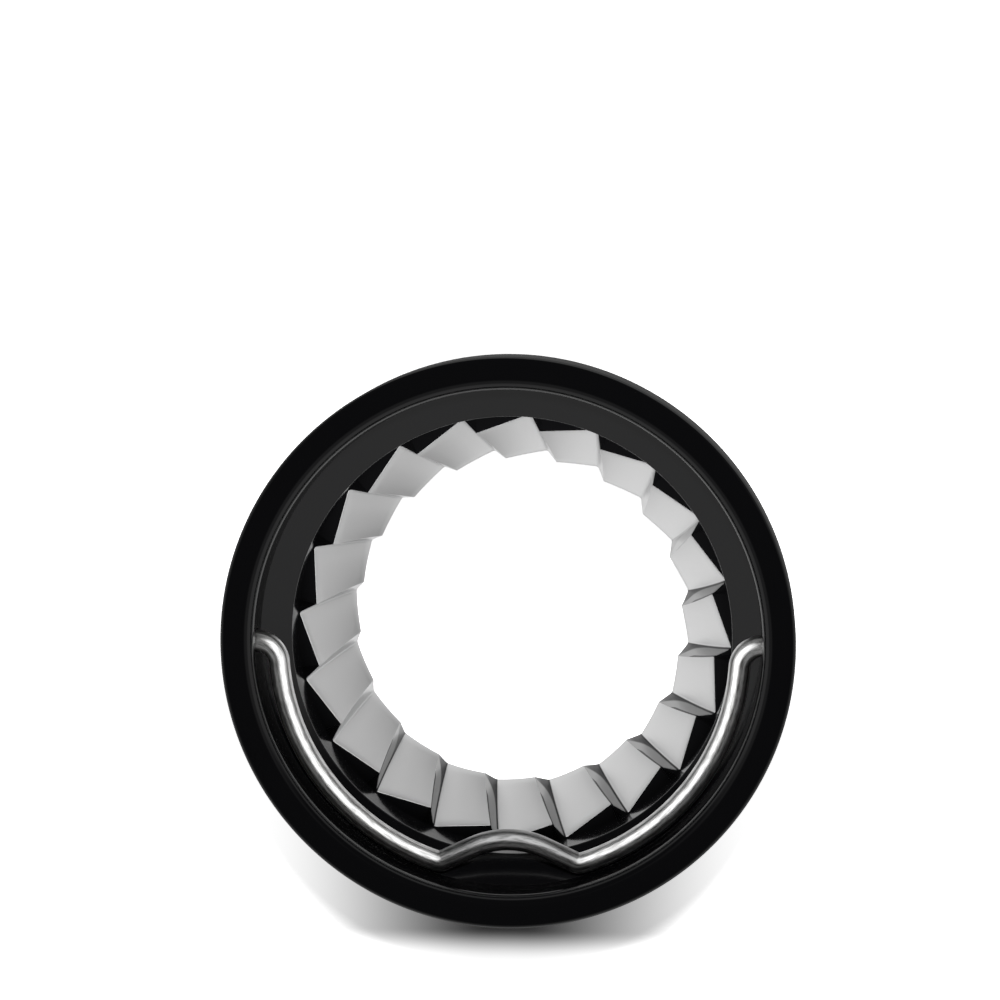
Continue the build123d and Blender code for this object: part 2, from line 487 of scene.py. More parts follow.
# %% Start meshes and a comparison of boxes
def corner_mesh(name, corners, closed):
    """A chain of edges through corner points, which keeps the bend radius of each corner."""
    mesh = bpy.data.meshes.new(name)
    count = len(corners)
    chain = [(index, index + 1) for index in range(count - 1)]
    if closed:
        chain.append((count - 1, 0))
    mesh.from_pydata([(point.x, point.y, 0) for point, bend in corners], chain, [])
    radii = mesh.attributes.new("bend", "FLOAT", "POINT")
    radii.data.foreach_set("value", [bend for point, bend in corners])
    return mesh


def compare_boxes(piece, node):
    """Prints by how much a piece's box differs from that of the solid it stands for."""
    low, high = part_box(node)
    for name, corner, pick in (("low", low, min), ("high", high, max)):
        own = [pick(v.co[axis] for v in piece.data.vertices) for axis in range(3)]
        print(piece.name, name, "corner off by mm:", [round((a - b) / MM, 3) for a, b in zip(own, corner)])


print("solids to compare with:", sorted(frame["nodes"]))

# %% [markdown]
# ## The carrier
# The carrier is a moulding that is round apart from three lugs, three keys and the two holes for the
# wire. Its half-section is drawn as corners with a round at each, as the mould maker's drawing has
# them. Curve to Mesh then carries that section around a circle. Moulded edges are never quite
# sharp, so even the plain corners get a very small round, which catches a thin line of light.

# %% Half-section of the carrier
RIM_RADIUS = 33.0 * MM
RIM_TOP = 34.0 * MM
RIM_UNDERSIDE = 27.5 * MM
RIM_OUTER_ROUND = 0.45 * MM
RIM_INNER_ROUND = 1.4 * MM
WALL_TOP_RADIUS = 29.25 * MM
WALL_FOOT_RADIUS = 29.05 * MM
WALL_FOOT_HEIGHT = 28.4 * MM
WALL_FOOT_ROUND = 0.02 * MM
LIP_RADIUS = 25.7 * MM
LIP_HEIGHT = 26.3 * MM
LIP_ROUND = 0.25 * MM
SEAT_RADIUS = 27.42 * MM
SEAT_TOP = 20.6 * MM
SKIRT_RADIUS = 30.7 * MM
SPIGOT_RADIUS = 30.2 * MM
SPIGOT_TOP = 12.0 * MM
CARRIER_BOTTOM = 1.5 * MM
BOTTOM_ROUND = 0.4 * MM
PLAIN_ROUND = 0.06 * MM

section_corners = [
    (RIM_RADIUS, RIM_UNDERSIDE, RIM_OUTER_ROUND),
    (SKIRT_RADIUS, RIM_UNDERSIDE, PLAIN_ROUND),
    (SKIRT_RADIUS, SPIGOT_TOP, PLAIN_ROUND),
    (SPIGOT_RADIUS, SPIGOT_TOP, PLAIN_ROUND),
    (SPIGOT_RADIUS, CARRIER_BOTTOM, BOTTOM_ROUND),
    (SEAT_RADIUS, CARRIER_BOTTOM, PLAIN_ROUND),
    (SEAT_RADIUS, SEAT_TOP, PLAIN_ROUND),
    (LIP_RADIUS, SEAT_TOP, PLAIN_ROUND),
    (LIP_RADIUS, LIP_HEIGHT, LIP_ROUND),
    (WALL_FOOT_RADIUS, WALL_FOOT_HEIGHT, WALL_FOOT_ROUND),
    (WALL_TOP_RADIUS, RIM_TOP, RIM_INNER_ROUND),
    (RIM_RADIUS, RIM_TOP, RIM_OUTER_ROUND),
]

# Along the turning circle a profile's X points outward and its Y down, both from the circle itself
turned_corners = [
    (Vector((radius - RIM_RADIUS, -height)), bend) for radius, height, bend in section_corners
]
section_mesh = corner_mesh("carrier_section", turned_corners, True)
print("corners in the half-section:", len(section_corners))

# %% [markdown]
# The tree for the carrier takes three steps: it turns the half-section, joins on the lugs and keys, which
# repeat three times around the axis, and drills one straight hole through both sides of the rim. Booleans
# are the plain way to do the last two. They need closed shapes, which the swept section and the boxes are.

# %% Turn the half-section
carrier_sizes = {
    "Turned Radius": RIM_RADIUS,
    "Steps around": 288,
    "Steps in a Bend": 10,
    "Lug Radius": 31.05 * MM,
    "Lug Width": 1.7 * MM,
    "Lug Height": 3.0 * MM,
    "Lug Level": 21.0 * MM,
    "Lug Angle": radians(24),
    "Lug Round": 0.25 * MM,
    "Lug Steps": 24,
    "Lug First Angle": radians(90),
    "Key Radius": 27.4 * MM,
    "Key Reach": 2.0 * MM,
    "Key Width": 4.0 * MM,
    "Key Height": 7.5 * MM,
    "Key Level": 5.25 * MM,
    "Key First Angle": radians(30),
    "Copies": 3,
    "Hole Radius": 1.43 * MM,
    "Hole Length": 70.0 * MM,
    "Hole Steps": 48,
    "Hole Level": frame["joints"][0]["pos_m"][2],
}
tree, sizes, result = new_tree("turned_carrier", carrier_sizes)
given = sizes.outputs
section = add_node(tree, "GeometryNodeMeshToCurve", inputs={"Mesh": given["Geometry"]})
bend = add_node(tree, "GeometryNodeInputNamedAttribute", inputs={"Name": "bend"})
rounded_section = add_node(
    tree,
    "GeometryNodeFilletCurve",
    {"mode": "POLY"},
    {
        "Curve": section.outputs["Curve"],
        "Count": given["Steps in a Bend"],
        "Radius": bend.outputs["Attribute"],
        "Limit Radius": True,
    },
)
circle = add_node(
    tree,
    "GeometryNodeCurvePrimitiveCircle",
    inputs={"Resolution": given["Steps around"], "Radius": given["Turned Radius"]},
)
level_circle = add_node(
    tree, "GeometryNodeSetCurveNormal", {"mode": "Z_UP"}, {"Curve": circle.outputs["Curve"]}
)
body = add_node(
    tree,
    "GeometryNodeCurveToMesh",
    inputs={"Curve": level_circle.outputs["Curve"], "Profile Curve": rounded_section.outputs["Curve"]},
)
print("named sizes of the carrier:", len(carrier_sizes))

# %% One lug and one key
lug_start = add_node(tree, "ShaderNodeMath", {"operation": "MULTIPLY"}, {0: given["Lug Angle"], 1: -0.5})
lug_path = add_node(
    tree,
    "GeometryNodeCurveArc",
    inputs={
        "Resolution": given["Lug Steps"],
        "Radius": given["Lug Radius"],
        "Start Angle": lug_start.outputs["Value"],
        "Sweep Angle": given["Lug Angle"],
    },
)
level_path = add_node(
    tree, "GeometryNodeSetCurveNormal", {"mode": "Z_UP"}, {"Curve": lug_path.outputs["Curve"]}
)
lug_section = add_node(
    tree,
    "GeometryNodeCurvePrimitiveQuadrilateral",
    inputs={"Width": given["Lug Width"], "Height": given["Lug Height"]},
)
rounded_lug = add_node(
    tree,
    "GeometryNodeFilletCurve",
    {"mode": "POLY"},
    {
        "Curve": lug_section.outputs["Curve"],
        "Count": given["Steps in a Bend"],
        "Radius": given["Lug Round"],
        "Limit Radius": True,
    },
)
lug = add_node(
    tree,
    "GeometryNodeCurveToMesh",
    inputs={
        "Curve": level_path.outputs["Curve"],
        "Profile Curve": rounded_lug.outputs["Curve"],
        "Fill Caps": True,
    },
)
lug_lift = add_node(tree, "ShaderNodeCombineXYZ", inputs={"Z": given["Lug Level"]})
key_size = add_node(
    tree,
    "ShaderNodeCombineXYZ",
    inputs={"X": given["Key Reach"], "Y": given["Key Width"], "Z": given["Key Height"]},
)
key = add_node(tree, "GeometryNodeMeshCube", inputs={"Size": key_size.outputs["Vector"]})
key_place = add_node(
    tree, "ShaderNodeCombineXYZ", inputs={"X": given["Key Radius"], "Z": given["Key Level"]}
)
print("nodes so far:", len(tree.nodes))

# %% Repeat the lugs and keys around the axis
points = add_node(tree, "GeometryNodePoints", inputs={"Count": given["Copies"]})
index = add_node(tree, "GeometryNodeInputIndex")
step = add_node(tree, "ShaderNodeMath", {"operation": "DIVIDE"}, {0: radians(360), 1: given["Copies"]})
joined = add_node(tree, "GeometryNodeMeshBoolean", {"operation": "UNION", "solver": "MANIFOLD"})
tree.links.new(body.outputs["Mesh"], joined.inputs["Mesh 2"])
for shape, place, first_angle in (
    (lug, lug_lift, given["Lug First Angle"]),
    (key, key_place, given["Key First Angle"]),
):
    moved = add_node(
        tree,
        "GeometryNodeTransform",
        inputs={"Geometry": shape.outputs["Mesh"], "Translation": place.outputs["Vector"]},
    )
    angle = add_node(
        tree,
        "ShaderNodeMath",
        {"operation": "MULTIPLY_ADD"},
        {0: index.outputs["Index"], 1: step.outputs["Value"], 2: first_angle},
    )
    turn = add_node(tree, "ShaderNodeCombineXYZ", inputs={"Z": angle.outputs["Value"]})
    copies = add_node(
        tree,
        "GeometryNodeInstanceOnPoints",
        inputs={
            "Points": points.outputs["Points"],
            "Instance": moved.outputs["Geometry"],
            "Rotation": turn.outputs["Vector"],
        },
    )
    tree.links.new(copies.outputs["Instances"], joined.inputs["Mesh 2"])
print("copies of each:", carrier_sizes["Copies"])

# %% Drill the holes and keep the carrier
drill = add_node(
    tree,
    "GeometryNodeMeshCylinder",
    inputs={
        "Vertices": given["Hole Steps"],
        "Radius": given["Hole Radius"],
        "Depth": given["Hole Length"],
    },
)
drill_lift = add_node(tree, "ShaderNodeCombineXYZ", inputs={"Z": given["Hole Level"]})
drill_placed = add_node(
    tree,
    "GeometryNodeTransform",
    inputs={
        "Geometry": drill.outputs["Mesh"],
        "Translation": drill_lift.outputs["Vector"],
        "Rotation": (0, radians(90), 0),
    },
)
drilled = add_node(
    tree,
    "GeometryNodeMeshBoolean",
    {"operation": "DIFFERENCE", "solver": "MANIFOLD"},
    {"Mesh 1": joined.outputs["Mesh"], "Mesh 2": drill_placed.outputs["Geometry"]},
)
whole = add_node(tree, "GeometryNodeRealizeInstances", inputs={"Geometry": drilled.outputs["Mesh"]})
coated = add_node(
    tree, "GeometryNodeSetMaterial", inputs={"Geometry": whole.outputs["Geometry"], "Material": plastic}
)
tree.links.new(coated.outputs["Geometry"], result.inputs["Geometry"])

carrier = made_by(tree, carrier_sizes, section_mesh, "moulded_carrier")
compare_boxes(carrier, "burr_carrier")
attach(carrier, "ring")
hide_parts("burr_carrier")

# %% [markdown]
# ## The ring burr
# The burr's teeth are leaning saw teeth: from a crest each flute slopes outward, rounds a corner and steps
# back in to the next crest, and the whole outline narrows and twists on its way down to the throat. Below
# the throat the ring opens again, with three fine grooves to each flute. One tooth is laid out here as a
# closed band of rows around the ring's section. Geometry Nodes then repeat it around the axis and cut the
# keyways. The edge at the top face is broken by a tenth of a millimetre, as a honing stone leaves it.

# %% Points and rounds of a tooth
THROAT_RADIUS = 19.5 * MM
THROAT_HEIGHT = 10.6 * MM
OUTLET_SLOPE = 0.4


def on_ring(radius, angle, height):
    """Point at a radius, an angle in degrees and a height."""
    return Vector((radius * cos(radians(angle)), radius * sin(radians(angle)), height))


def outlet_radius(height):
    """Radius of the plain cone that opens below the throat."""
    return THROAT_RADIUS + OUTLET_SLOPE * (THROAT_HEIGHT - height)


def arc_round(before, tip, after, radius, steps):
    """Points of the arc that rounds a tip between two straight sides."""
    toward_before = (before - tip).normalized()
    toward_after = (after - tip).normalized()
    half_angle = toward_before.angle(toward_after) / 2
    center = tip + (toward_before + toward_after).normalized() * (radius / sin(half_angle))
    first = (tip + toward_before * (radius / tan(half_angle)) - center).normalized()
    last = (tip + toward_after * (radius / tan(half_angle)) - center).normalized()
    return [center + first.slerp(last, step / steps) * radius for step in range(steps + 1)]


print("radius of the outlet at its end, mm:", round(outlet_radius(0.0) / MM, 2))

# %% Rows across the flute
FLUTE_COUNT = 20
PITCH = 360 / FLUTE_COUNT
FLUTE_DEPTH = 1.95 * MM
FLUTE_ROUND = 0.35 * MM
FLUTE_TWIST = 5.8
FLUTE_FIRST_ANGLE = -7.0
FLUTE_LEAN = 2.8
FLUTE_LEAN_GROWTH = 2.2
FUNNEL_DEPTH = 10.0 * MM
FUNNEL_NARROWING = 4.15 * MM
CREST_TOP_RADIUS = 23.65 * MM
CREST_ROUND = 0.06 * MM
CREST_STEPS = 4
ROOT_STEPS = 5
SLOPE_STEPS = 4
HALVINGS = 40


def flute_row(height):
    """Sixteen points from one crest over the flute to the next, at one height."""
    below_top = (BURR_TOP - height) / FUNNEL_DEPTH
    crest_radius = CREST_TOP_RADIUS - FUNNEL_NARROWING * below_top
    first_angle = FLUTE_FIRST_ANGLE - FLUTE_TWIST * below_top
    lean = FLUTE_LEAN + FLUTE_LEAN_GROWTH * below_top
    crests = [on_ring(crest_radius, first_angle - PITCH * tooth, height) for tooth in (0, 1)]
    roots = [
        on_ring(crest_radius + FLUTE_DEPTH, first_angle + lean - PITCH * tooth, height)
        for tooth in (0, 1, 2)
    ]
    half = CREST_STEPS // 2
    start = arc_round(roots[0], crests[0], roots[1], CREST_ROUND, CREST_STEPS)[half:]
    root = arc_round(crests[0], roots[1], crests[1], FLUTE_ROUND, ROOT_STEPS)
    end = arc_round(roots[1], crests[1], roots[2], CREST_ROUND, CREST_STEPS)[: half + 1]
    slope = [start[-1].lerp(root[0], part / SLOPE_STEPS) for part in range(1, SLOPE_STEPS)]
    return start + slope + root + [root[-1].lerp(end[0], 0.5)] + end


def flute_end(column):
    """Height at which a column of the flute runs out into the outlet's cone."""
    low, high = 0.0, BURR_TOP
    for _ in range(HALVINGS):
        middle = (low + high) / 2
        point = flute_row(middle)[column]
        if point.xy.length > outlet_radius(middle):
            high = middle
        else:
            low = middle
    return high


columns = range(len(flute_row(BURR_TOP)))
flute_ends = [flute_end(column) for column in columns]
print("the flutes run out between", min(flute_ends) / MM, "and", max(flute_ends) / MM, "mm")

# %% Broken edge and flute of the tooth
FLUTE_ROWS = 8
EDGE_STEPS = 3
EDGE_BREAK = 0.1 * MM
top_outline = flute_row(BURR_TOP)


def outward(column):
    """Direction in the top face that leads away from the flute at a column."""
    turn = Matrix.Rotation(radians(PITCH), 3, "Z")
    before = top_outline[column - 1] if column > 0 else turn @ top_outline[-2]
    last = len(top_outline) - 1
    after = top_outline[column + 1] if column < last else turn.inverted() @ top_outline[1]
    along = (after - before).normalized()
    return Vector((-along.y, along.x, 0))


rows = []
for edge_step in range(EDGE_STEPS):
    turn = radians(90 * edge_step / EDGE_STEPS)
    height = BURR_TOP - EDGE_BREAK * (1 - cos(turn))
    outline = flute_row(height)
    rows.append([outline[c] + outward(c) * EDGE_BREAK * (1 - sin(turn)) for c in columns])
for row in range(FLUTE_ROWS + 1):
    part = row / FLUTE_ROWS
    heights = [
        (BURR_TOP - EDGE_BREAK) * (1 - part) + (flute_ends[c] + EDGE_BREAK) * part for c in columns
    ]
    rows.append([flute_row(heights[c])[c] for c in columns])
print("rows from the top face to the throat:", len(rows))

# %% Outlet of the tooth
GROOVE_COUNT = 3
GROOVE_START = 7.4 * MM
GROOVE_DEPTH = 0.75 * MM
GROOVE_INSET = 0.15 * MM
GROOVE_TWIST = 9.0
GROOVE_LEAN = 1.0
GROOVE_FIRST_ANGLE = -12.0
GROOVE_ROWS = 8
OUTLET_ROWS = 3
GROOVE_PITCH = PITCH / GROOVE_COUNT
MOST_OF_SIDE = 0.9
ROOT_FLAT = 0.04


def groove_row(height):
    """Sixteen points over the three grooves of one tooth, at one height."""
    below_start = (GROOVE_START - height) / GROOVE_START
    land = outlet_radius(height)
    depth = GROOVE_INSET + GROOVE_DEPTH * below_start
    first_angle = GROOVE_FIRST_ANGLE - GROOVE_TWIST * below_start
    cut_in = min(GROOVE_INSET / depth, MOST_OF_SIDE)
    points = [on_ring(land, first_angle, height)]
    for groove in range(GROOVE_COUNT):
        angle = first_angle - GROOVE_PITCH * groove
        crest = on_ring(land - GROOVE_INSET, angle, height)
        root = on_ring(land - GROOVE_INSET + depth, angle - GROOVE_PITCH + GROOVE_LEAN, height)
        next_crest = on_ring(land - GROOVE_INSET, angle - GROOVE_PITCH, height)
        points.append(crest.lerp(root, cut_in))
        points.append(crest.lerp(root, 1 - ROOT_FLAT))
        points.append(root.lerp(next_crest, ROOT_FLAT))
        points.append(root.lerp(next_crest, 1 - cut_in))
        points.append(on_ring(land, angle - GROOVE_PITCH, height))
    return points


flute_angles = []
for column in columns:
    end_point = flute_row(flute_ends[column])[column]
    angle = degrees(atan2(end_point.y, end_point.x))
    flute_angles.append(angle - 360 if angle > 0 else angle)
groove_angles = [degrees(atan2(point.y, point.x)) for point in groove_row(GROOVE_START)]
for row in range(OUTLET_ROWS):
    part = row / OUTLET_ROWS
    heights = [(end - EDGE_BREAK) * (1 - part) + GROOVE_START * part for end in flute_ends]
    angles = [a * (1 - part) + b * part for a, b in zip(flute_angles, groove_angles)]
    rows.append([on_ring(outlet_radius(h), a, h) for h, a in zip(heights, angles)])
for row in range(GROOVE_ROWS + 1):
    rows.append(groove_row(GROOVE_START * (1 - row / GROOVE_ROWS)))
print("rows on the inside of the tooth:", len(rows))

# %% Outside of the tooth
BURR_RADIUS = 27.4 * MM
BURR_CHAMFER = 0.5 * MM
OUTSIDE_ROWS = 6
bottom_angle = GROOVE_FIRST_ANGLE - GROOVE_TWIST


def outside_row(radius, first_angle, height):
    """Evenly spaced points on the outside of one tooth."""
    return [on_ring(radius, first_angle - PITCH * c / columns[-1], height) for c in columns]


rows.append(outside_row(BURR_RADIUS - BURR_CHAMFER, bottom_angle, 0.0))
for row in range(OUTSIDE_ROWS + 1):
    part = row / OUTSIDE_ROWS
    first_angle = bottom_angle * (1 - part) + FLUTE_FIRST_ANGLE * part
    rows.append(outside_row(BURR_RADIUS, first_angle, BURR_CHAMFER * (1 - part) + BURR_TOP * part))

width = len(columns)
tooth_faces = []
for row in range(len(rows)):
    next_row = (row + 1) % len(rows)
    for column in range(width - 1):
        corners = [(row, column), (next_row, column), (next_row, column + 1), (row, column + 1)]
        tooth_faces.append([r * width + c for r, c in corners])
tooth_mesh = bpy.data.meshes.new("one_tooth")
tooth_mesh.from_pydata([point for row in rows for point in row], [], tooth_faces)
print("one tooth has", len(tooth_faces), "faces")

# %% Number that runs across the tooth, for its painted shade
CORNER_REACH = 0.1
PLAIN_MARK = 0.5
crest_points = CREST_STEPS // 2 + 1
slope_marks = [part / SLOPE_STEPS for part in range(1, SLOPE_STEPS)]
corner_marks = [1 - CORNER_REACH + 2 * CORNER_REACH * part / ROOT_STEPS for part in range(ROOT_STEPS + 1)]
flute_marks = [0.0] * crest_points + slope_marks + corner_marks + [1.5] + [2.0] * crest_points
plain_marks = [PLAIN_MARK] * width
marks = []
for row in range(len(rows)):
    marks += flute_marks if row < EDGE_STEPS + FLUTE_ROWS + 1 else plain_marks
tooth_mesh.attributes.new("tooth", "FLOAT", "POINT").data.foreach_set("value", marks)
print("marks across a flute:", [round(mark, 2) for mark in flute_marks])

# %% [markdown]
# The tree for the burr repeats two things around the axis: the tooth, whose copies are merged into one
# closed ring, and a box, whose copies cut the keyways. One loop makes both, since only the shape, the
# count and the first angle differ.

# %% Repeat the tooth and the keyway box
burr_sizes = {
    "Teeth": FLUTE_COUNT,
    "Merge Distance": MERGE_DISTANCE,
    "Slot Radius": 27.4 * MM,
    "Slot Reach": 2.12 * MM,
    "Slot Width": 4.12 * MM,
    "Slot Height": 9.12 * MM,
    "Slot Level": 4.5 * MM,
    "Slot First Angle": radians(30),
    "Slots": 3,
}
tree, sizes, result = new_tree("toothed_ring", burr_sizes)
given = sizes.outputs
index = add_node(tree, "GeometryNodeInputIndex")
slot_size = add_node(
    tree,
    "ShaderNodeCombineXYZ",
    inputs={"X": given["Slot Reach"], "Y": given["Slot Width"], "Z": given["Slot Height"]},
)
slot_box = add_node(tree, "GeometryNodeMeshCube", inputs={"Size": slot_size.outputs["Vector"]})
slot_place = add_node(
    tree, "ShaderNodeCombineXYZ", inputs={"X": given["Slot Radius"], "Z": given["Slot Level"]}
)
slot_moved = add_node(
    tree,
    "GeometryNodeTransform",
    inputs={"Geometry": slot_box.outputs["Mesh"], "Translation": slot_place.outputs["Vector"]},
)
repeated = []
for shape, count, first_angle in (
    (given["Geometry"], given["Teeth"], 0.0),
    (slot_moved.outputs["Geometry"], given["Slots"], given["Slot First Angle"]),
):
    step = add_node(tree, "ShaderNodeMath", {"operation": "DIVIDE"}, {0: radians(360), 1: count})
    angle = add_node(
        tree,
        "ShaderNodeMath",
        {"operation": "MULTIPLY_ADD"},
        {0: index.outputs["Index"], 1: step.outputs["Value"], 2: first_angle},
    )
    turn = add_node(tree, "ShaderNodeCombineXYZ", inputs={"Z": angle.outputs["Value"]})
    points = add_node(tree, "GeometryNodePoints", inputs={"Count": count})
    copies = add_node(
        tree,
        "GeometryNodeInstanceOnPoints",
        inputs={
            "Points": points.outputs["Points"],
            "Instance": shape,
            "Rotation": turn.outputs["Vector"],
        },
    )
    repeated.append(
        add_node(tree, "GeometryNodeRealizeInstances", inputs={"Geometry": copies.outputs["Instances"]})
    )
print("teeth and keyways:", burr_sizes["Teeth"], burr_sizes["Slots"])

# %% Cut the keyways and keep the burr
ring = add_node(
    tree,
    "GeometryNodeMergeByDistance",
    inputs={"Geometry": repeated[0].outputs["Geometry"], "Distance": given["Merge Distance"]},
)
cut = add_node(
    tree,
    "GeometryNodeMeshBoolean",
    {"operation": "DIFFERENCE", "solver": "MANIFOLD"},
    {"Mesh 1": ring.outputs["Geometry"], "Mesh 2": repeated[1].outputs["Geometry"]},
)
whole = add_node(tree, "GeometryNodeRealizeInstances", inputs={"Geometry": cut.outputs["Mesh"]})
coated = add_node(
    tree,
    "GeometryNodeSetMaterial",
    inputs={"Geometry": whole.outputs["Geometry"], "Material": burr_steel},
)
tree.links.new(coated.outputs["Geometry"], result.inputs["Geometry"])

burr = made_by(tree, burr_sizes, tooth_mesh, "ground_ring_burr")
compare_boxes(burr, "ring_burr")
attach(burr, "ring")
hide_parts("ring_burr")

# %% [markdown]
# ## The wire handle
# A wire bender's drawing gives a bent wire as straight lines with a bend radius at each corner. Geometry
# Nodes read it the same way: a mesh holds the corners and their radii, Fillet Curve rounds them, and
# Curve to Mesh carries a circle along. The long sweep round the ring is one large bend too. Drawing the
# corners of one half and mirroring them keeps both halves alike.

# %% Corners and bends of the wire
WIRE_RADIUS = 1.25 * MM
HANDLE_RADIUS = 26.65 * MM
HANDLE_SHIFT = 0.95 * MM
END_BEND = 2.7 * MM
END_REACH = 32.1 * MM
KINK_OFFSET = 8.25 * MM
KINK_BEND = 1.5 * MM
RAMP_ANGLE = radians(25.4)
BUMP_RADIUS = 23.5 * MM


def crossing(point_a, normal_a, point_b, normal_b):
    """Point where two lines of the plan meet, each given by a point on it and its normal."""
    return Matrix((normal_a, normal_b)).inverted() @ Vector((point_a @ normal_a, point_b @ normal_b))


sweep_center = Vector((0, -HANDLE_SHIFT))
bend_reach = HANDLE_RADIUS + END_BEND
bend_fall = END_BEND - HANDLE_SHIFT
sweep_start = Vector((-sqrt(bend_reach**2 - bend_fall**2), -bend_fall)).normalized()
kink_reach = HANDLE_RADIUS - KINK_BEND
kink_turn = Vector((-KINK_OFFSET, -sqrt(kink_reach**2 - KINK_OFFSET**2)))
kink_center = sweep_center + kink_turn
sweep_end = kink_turn.normalized()
ramp_normal = Vector((-sin(RAMP_ANGLE), cos(RAMP_ANGLE)))
ramp_point = kink_center - ramp_normal * KINK_BEND
bump_bend = (BUMP_RADIUS * ramp_normal.y + ramp_point @ ramp_normal) / (1 - ramp_normal.y)

pivot_line = (Vector((0, 0)), Vector((0, 1)))
start_tangent = (sweep_center + sweep_start * HANDLE_RADIUS, sweep_start)
end_tangent = (sweep_center + sweep_end * HANDLE_RADIUS, sweep_end)
ramp_line = (ramp_point, ramp_normal)
middle_line = (Vector((0, 0)), Vector((1, 0)))

half_wire = [
    (Vector((-END_REACH, 0)), 0.0),
    (crossing(*pivot_line, *start_tangent), END_BEND),
    (crossing(*start_tangent, *end_tangent), HANDLE_RADIUS),
    (crossing(*end_tangent, *ramp_line), KINK_BEND),
]
bump_top = (crossing(*ramp_line, *middle_line), bump_bend)
other_half = [(Vector((-corner.x, corner.y)), bend) for corner, bend in reversed(half_wire)]
wire_corners = half_wire + [bump_top] + other_half
print("bends of half the wire, mm:", [round(bend / MM, 2) for corner, bend in half_wire + [bump_top]])

# %% [markdown]
# The tree below also stores what the wire's finish needs. The handle is drawn flat, so its last steps
# let it down about its pivots until it lies in the ring, as the solid does. The hinge swings it from
# one side of the ring to the other, so what it turns beyond half a turn is twice the drop.

# %% Path and section of the wire
hinge = frame["joints"][0]
wire_sizes = {
    "Wire Radius": WIRE_RADIUS,
    "Drop Angle": radians((hinge["range_deg"][1] - 180) / 2),
    "Pivot Height": hinge["pos_m"][2],
    "Steps in a Bend": 40,
    "Steps around": 40,
}
tree, sizes, result = new_tree("bent_wire", wire_sizes)
given = sizes.outputs
line = add_node(tree, "GeometryNodeMeshToCurve", inputs={"Mesh": given["Geometry"]})
bend = add_node(tree, "GeometryNodeInputNamedAttribute", inputs={"Name": "bend"})
bent = add_node(
    tree,
    "GeometryNodeFilletCurve",
    {"mode": "POLY"},
    {
        "Curve": line.outputs["Curve"],
        "Count": given["Steps in a Bend"],
        "Radius": bend.outputs["Attribute"],
        "Limit Radius": True,
    },
)
parameter = add_node(tree, "GeometryNodeSplineParameter")
path = add_node(
    tree,
    "GeometryNodeStoreNamedAttribute",
    {"data_type": "FLOAT", "domain": "POINT"},
    {"Geometry": bent.outputs["Curve"], "Name": "along", "Value": parameter.outputs["Length"]},
)
circle = add_node(
    tree,
    "GeometryNodeCurvePrimitiveCircle",
    inputs={"Resolution": given["Steps around"], "Radius": given["Wire Radius"]},
)
position = add_node(tree, "GeometryNodeInputPosition")
profile = add_node(
    tree,
    "GeometryNodeStoreNamedAttribute",
    {"data_type": "FLOAT_VECTOR", "domain": "POINT"},
    {"Geometry": circle.outputs["Curve"], "Name": "section", "Value": position.outputs["Position"]},
)
print("the handle drops by", round(degrees(wire_sizes["Drop Angle"]), 2), "degrees")

# %% Sweep the wire and let it down
tube = add_node(
    tree,
    "GeometryNodeCurveToMesh",
    inputs={
        "Curve": path.outputs["Geometry"],
        "Profile Curve": profile.outputs["Geometry"],
        "Fill Caps": True,
    },
)
turn = add_node(tree, "ShaderNodeCombineXYZ", inputs={"X": given["Drop Angle"]})
lift = add_node(tree, "ShaderNodeCombineXYZ", inputs={"Z": given["Pivot Height"]})
placed = add_node(
    tree,
    "GeometryNodeTransform",
    inputs={
        "Geometry": tube.outputs["Mesh"],
        "Rotation": turn.outputs["Vector"],
        "Translation": lift.outputs["Vector"],
    },
)
whole = add_node(tree, "GeometryNodeRealizeInstances", inputs={"Geometry": placed.outputs["Geometry"]})
coated = add_node(
    tree,
    "GeometryNodeSetMaterial",
    inputs={"Geometry": whole.outputs["Geometry"], "Material": wire_steel},
)
tree.links.new(coated.outputs["Geometry"], result.inputs["Geometry"])

wire_mesh = corner_mesh("wire_corners", wire_corners, False)
handle = made_by(tree, wire_sizes, wire_mesh, "bent_handle")
compare_boxes(handle, "wire_handle")
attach(handle, "handle")
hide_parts("wire_handle")

# %% [markdown]
# ## Floor
# The part lies on a white light table: matt paper with a glow from below. The glow fades out in front
# of the ring and behind it, which leaves the ring's shadow there to be seen, and it lights nothing, as
# only the camera sees it. Shiny surfaces see a map of their own instead. In it the table is dim below
# the middle of the opening, as over a ring tube, which sets the teeth apart in tone, nearly dark just
# outside the ring, so that the carrier's black side stays black from above, and bright farther out.
# From below the table is clear, so that the part's underside can be looked at.

# %% Floor plane
FLOOR_HALF = 4.0
FLOOR_DROP = 0.05 * MM
floor_mesh = bpy.data.meshes.new("floor")
signs = ((-1, -1), (1, -1), (1, 1), (-1, 1))
floor_corners = [(x * FLOOR_HALF, y * FLOOR_HALF, -FLOOR_DROP) for x, y in signs]
floor_mesh.from_pydata(floor_corners, [], [(0, 1, 2, 3)])
floor = bpy.data.objects.new("floor", floor_mesh)
bpy.context.scene.collection.objects.link(floor)
print("floor half width, m:", FLOOR_HALF)

# %% Brightness of the table by place
OPENING_EDGES = (24.0 * MM, 29.0 * MM)
SHADOW_MIDDLE = -2.6 * MM
SHADOW_SIDES = (2.0 * MM, 33.0 * MM)
SHADOW_FRONT = (41.0 * MM, 45.4 * MM)
DIM_CENTER = (-3.4 * MM, 1.0 * MM, 0.0)
RING_DISTANCE = 13.5 * MM
DIM_GLOW = 0.05
RING_GLOW = 1.0
SIDE_GLOW = 0.12
FAR_GLOW = 0.8
FAR_EDGES = (45.0 * MM, 120.0 * MM)

